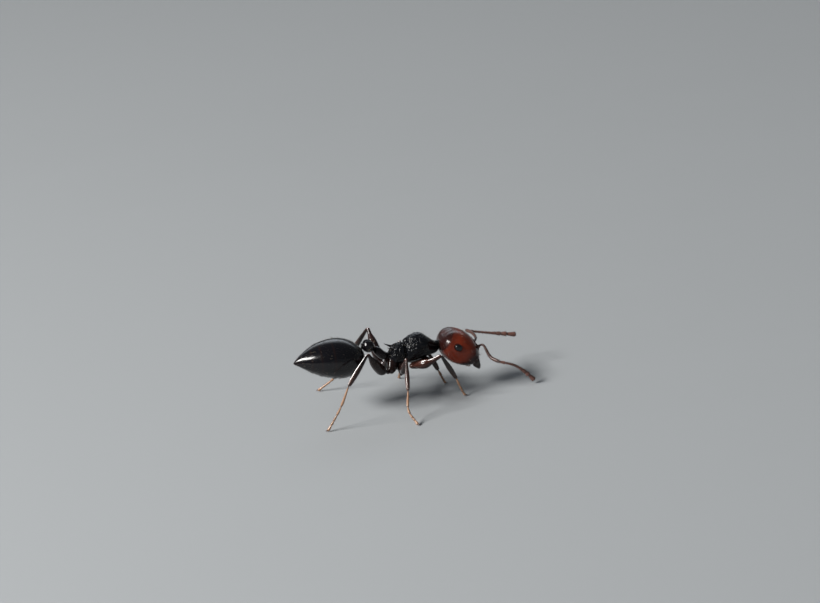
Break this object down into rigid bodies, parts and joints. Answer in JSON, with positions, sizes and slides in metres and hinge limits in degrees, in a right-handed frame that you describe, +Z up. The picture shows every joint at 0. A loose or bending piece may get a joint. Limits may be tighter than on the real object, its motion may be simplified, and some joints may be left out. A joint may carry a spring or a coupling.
{
  "type": "acrobat ant",
  "caption": "Still life-size worker ant with a red head, black trunk and heart-shaped pointed gaster, standing in a walking pose on its feet.",
  "frame": {"origin": "centre of the bounding box at floor level, on the plane of the soles", "axes": "+Z up, +Y from head to gaster tip so the ant faces -Y, +X to the ant's left"},
  "size_m": [0.004, 0.0056, 0.0018],
  "materials": {
    "head_red": "glossy red-brown cuticle",
    "mouth_brown": "dark glossy brown cuticle",
    "eye_black": "black faceted eye",
    "body_black": "glossy black cuticle",
    "leg_brown": "dark brown cuticle",
    "tarsus_brown": "light red-brown cuticle",
    "antenna_brown": "brown cuticle with fine down"
  },
  "bodies": {
    "root": {"head": "head_red", "eye_right": "eye_black", "eye_left": "eye_black", "mandible_right": "mouth_brown", "mandible_left": "mouth_brown", "fore_trunk": "body_black", "propodeum": "body_black", "petiole": "body_black", "postpetiole": "body_black", "gaster_1": "body_black", "gaster_2": "body_black", "gaster_3": "body_black", "gaster_4": "body_black", "front_right_coxa": "leg_brown", "front_right_femur": "leg_brown", "front_right_tibia": "leg_brown", "front_right_tarsus": "tarsus_brown", "middle_right_coxa": "leg_brown", "middle_right_femur": "leg_brown", "middle_right_tibia": "leg_brown", "middle_right_tarsus": "tarsus_brown", "hind_right_coxa": "leg_brown", "hind_right_femur": "leg_brown", "hind_right_tibia": "leg_brown", "hind_right_tarsus": "tarsus_brown", "front_left_coxa": "leg_brown", "front_left_femur": "leg_brown", "front_left_tibia": "leg_brown", "front_left_tarsus": "tarsus_brown", "middle_left_coxa": "leg_brown", "middle_left_femur": "leg_brown", "middle_left_tibia": "leg_brown", "middle_left_tarsus": "tarsus_brown", "hind_left_coxa": "leg_brown", "hind_left_femur": "leg_brown", "hind_left_tibia": "leg_brown", "hind_left_tarsus": "tarsus_brown", "antenna_right_scape": "antenna_brown", "antenna_right_funiculus": "antenna_brown", "antenna_right_club": "antenna_brown", "antenna_left_scape": "antenna_brown", "antenna_left_funiculus": "antenna_brown", "antenna_left_club": "antenna_brown"}
  },
  "joints": []
}
